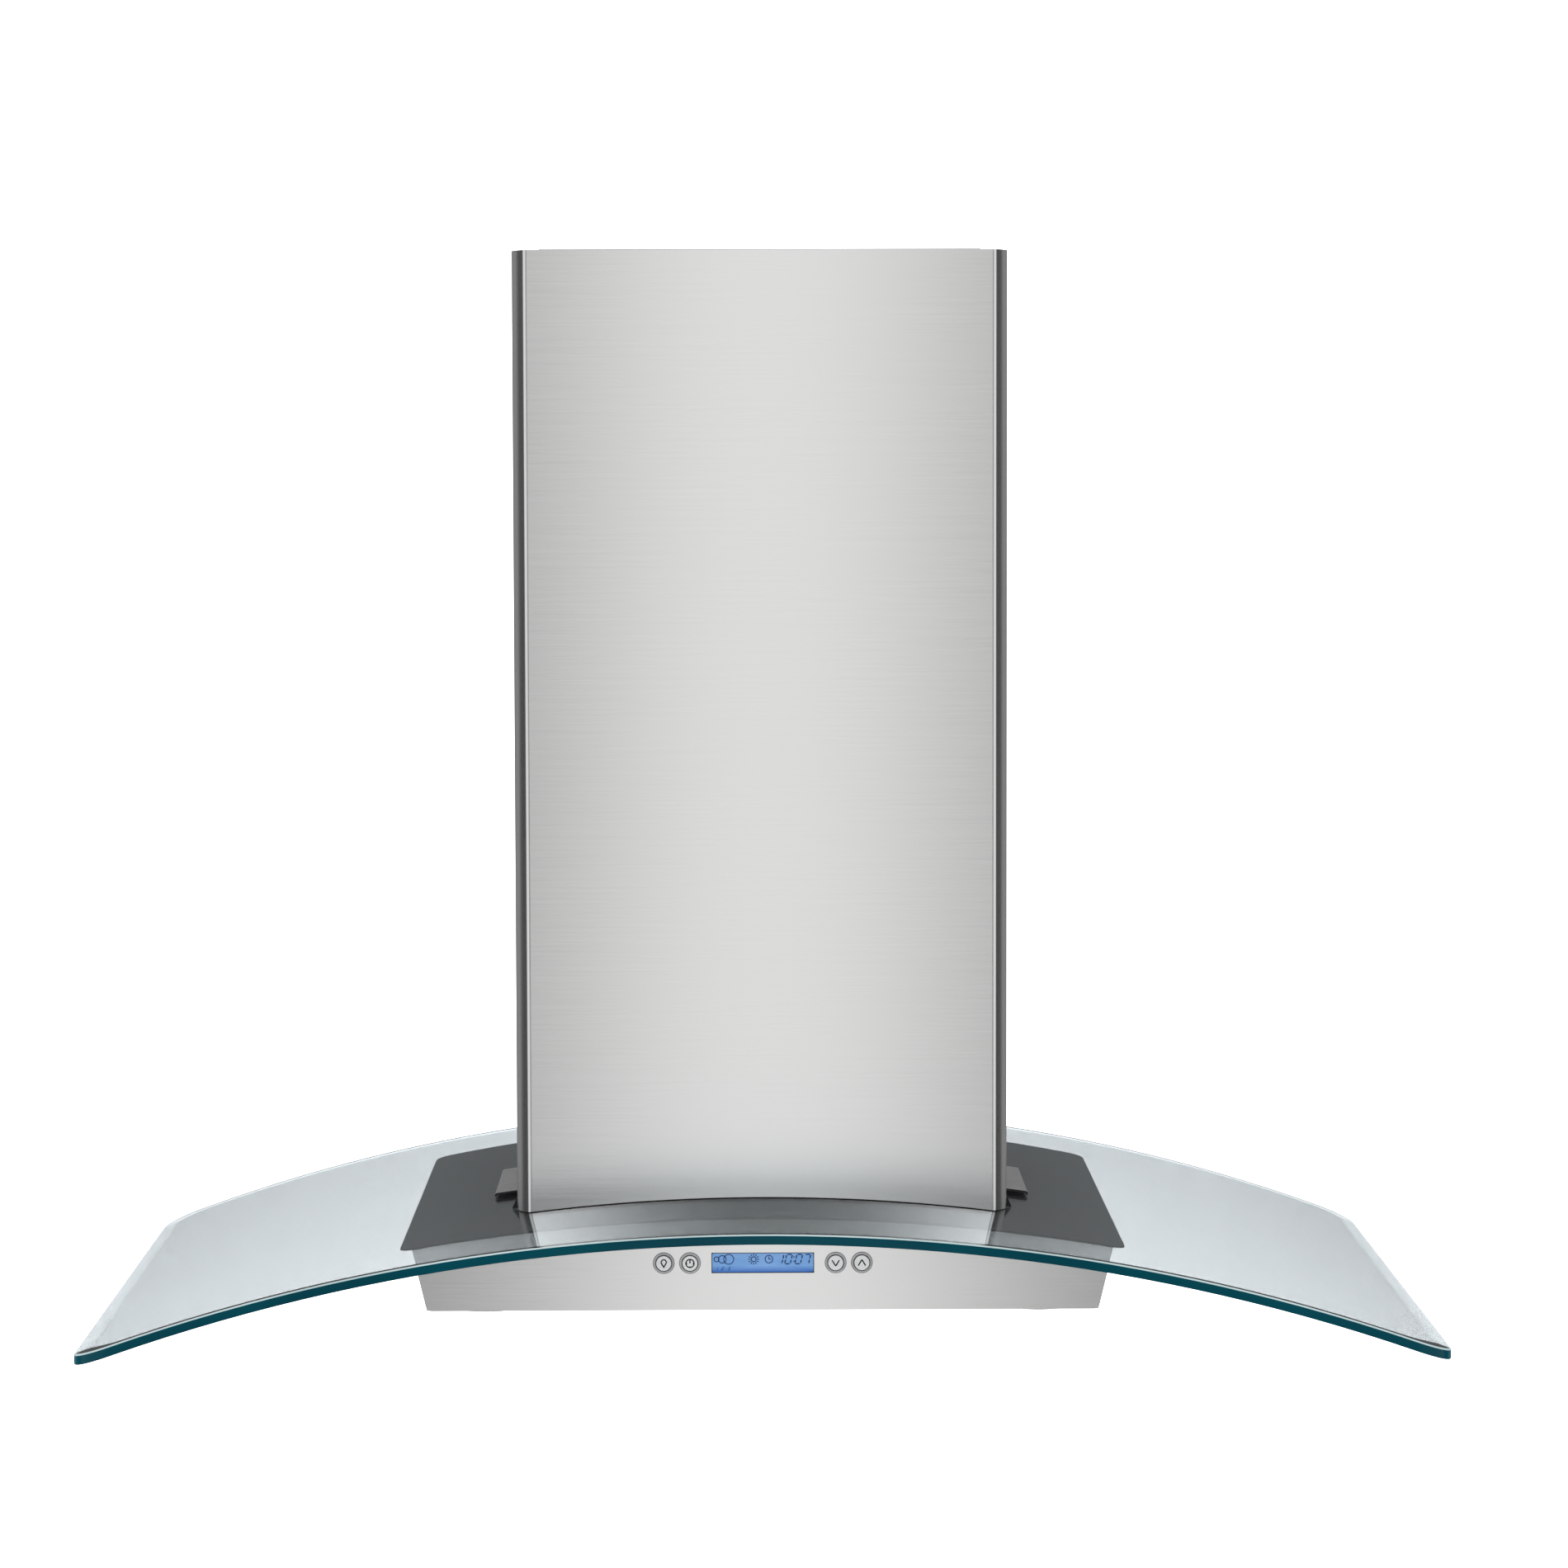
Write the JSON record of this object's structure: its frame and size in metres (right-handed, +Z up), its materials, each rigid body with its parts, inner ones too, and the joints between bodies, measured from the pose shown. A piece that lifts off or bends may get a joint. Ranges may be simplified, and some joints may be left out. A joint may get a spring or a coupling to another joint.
{
  "type": "island range hood",
  "caption": "Island range hood: a telescopic steel chimney hung from the ceiling over a curved glass canopy, with a slim body holding buttons, a display, lamps, hinged filters and a blower.",
  "frame": {"origin": "centre of the ceiling bracket's top face, on the ceiling", "axes": "+X to the right seen from the control side, +Y from the control side to the rear, +Z up"},
  "size_m": [1.067, 0.702, 0.8628],
  "materials": {
    "stainless": "fine horizontal brushing",
    "dark_steel": "satin dark grey",
    "zinc_steel": "zinc plated, dull",
    "aluminium": "satin",
    "rubber": "matte",
    "black_plastic": "fine texture",
    "circuit_board": "solder mask",
    "canopy_glass": "clear, polished edges",
    "lamp_glass": "frosted",
    "display": "clear window over a blue backlight"
  },
  "bodies": {
    "ceiling_support": {"ceiling_bracket": "zinc_steel", "upper_post_front_left": "zinc_steel", "upper_post_front_right": "zinc_steel", "upper_post_rear_left": "zinc_steel", "upper_post_rear_right": "zinc_steel", "upper_chimney_front": "stainless", "upper_chimney_rear": "stainless"},
    "hood": {"lower_post_front_left": "zinc_steel", "lower_post_front_right": "zinc_steel", "lower_post_rear_left": "zinc_steel", "lower_post_rear_right": "zinc_steel", "lower_chimney_front": "stainless", "lower_chimney_rear": "stainless", "glass_canopy": "canopy_glass", "canopy_top": "dark_steel", "glass_clamp_left": "dark_steel", "glass_clamp_right": "dark_steel", "glass_gasket": "rubber", "chimney_seal_left": "rubber", "chimney_seal_right": "rubber", "control_panel": "stainless", "rear_panel": "stainless", "side_panel_left": "stainless", "side_panel_right": "stainless", "bottom_pan": "stainless", "lcd_window": "display", "lcd_module": "black_plastic", "control_board": "circuit_board", "button_bezel_left": "aluminium", "button_bezel_right": "aluminium", "lamp_can_front_left": "aluminium", "lamp_lens_front_left": "lamp_glass", "lamp_can_front_right": "aluminium", "lamp_lens_front_right": "lamp_glass", "lamp_can_rear_left": "aluminium", "lamp_lens_rear_left": "lamp_glass", "lamp_can_rear_right": "aluminium", "lamp_lens_rear_right": "lamp_glass", "blower_scroll_left": "black_plastic", "blower_scroll_right": "black_plastic", "blower_box": "zinc_steel", "blower_motor": "zinc_steel", "motor_bracket": "zinc_steel", "duct_collar": "zinc_steel", "junction_box": "zinc_steel", "junction_box_cover": "zinc_steel", "motor_capacitor": "aluminium"},
    "light_button": {"light_button": "aluminium"},
    "power_button": {"power_button": "aluminium"},
    "down_button": {"down_button": "aluminium"},
    "up_button": {"up_button": "aluminium"},
    "impeller": {"impeller": "black_plastic"},
    "damper_flap_left": {"damper_flap_left": "aluminium"},
    "damper_flap_right": {"damper_flap_right": "aluminium"},
    "filter_left": {"filter_frame_left": "aluminium", "filter_mesh_left": "aluminium"},
    "filter_right": {"filter_frame_right": "aluminium", "filter_mesh_right": "aluminium"},
    "filter_latch_left": {"filter_latch_left": "black_plastic"},
    "filter_latch_right": {"filter_latch_right": "black_plastic"}
  },
  "joints": [
    {"name": "height_adjust", "type": "slide", "parent": "ceiling_support", "child": "hood", "axis": [0, 0, -1], "range_m": [0, 0.36]},
    {"name": "light_button_press", "type": "slide", "parent": "hood", "child": "light_button", "axis": [0, 1, 0], "range_m": [0, 0.0012], "stiffness_N_per_m": 700},
    {"name": "power_button_press", "type": "slide", "parent": "hood", "child": "power_button", "axis": [0, 1, 0], "range_m": [0, 0.0012], "stiffness_N_per_m": 700},
    {"name": "down_button_press", "type": "slide", "parent": "hood", "child": "down_button", "axis": [0, 1, 0], "range_m": [0, 0.0012], "stiffness_N_per_m": 700},
    {"name": "up_button_press", "type": "slide", "parent": "hood", "child": "up_button", "axis": [0, 1, 0], "range_m": [0, 0.0012], "stiffness_N_per_m": 700},
    {"name": "impeller_spin", "type": "hinge", "parent": "hood", "child": "impeller", "pos_m": [0, -0.015, -0.661], "axis": [1, 0, 0], "continuous": true},
    {"name": "damper_swing_left", "type": "hinge", "parent": "hood", "child": "damper_flap_left", "pos_m": [-0.0043, 0, -0.4417], "axis": [0, 1, 0], "range_deg": [0, 80]},
    {"name": "damper_swing_right", "type": "hinge", "parent": "hood", "child": "damper_flap_right", "pos_m": [0.0043, 0, -0.4417], "axis": [0, -1, 0], "range_deg": [0, 80]},
    {"name": "filter_drop_left", "type": "hinge", "parent": "hood", "child": "filter_left", "pos_m": [-0.1285, 0.1645, -0.8327], "axis": [1, 0, 0], "range_deg": [0, 70]},
    {"name": "latch_slide_left", "type": "slide", "parent": "filter_left", "child": "filter_latch_left", "axis": [0, 1, 0], "range_m": [0, 0.005], "stiffness_N_per_m": 300},
    {"name": "filter_drop_right", "type": "hinge", "parent": "hood", "child": "filter_right", "pos_m": [0.1285, 0.1645, -0.8327], "axis": [1, 0, 0], "range_deg": [0, 70]},
    {"name": "latch_slide_right", "type": "slide", "parent": "filter_right", "child": "filter_latch_right", "axis": [0, 1, 0], "range_m": [0, 0.005], "stiffness_N_per_m": 300}
  ]
}
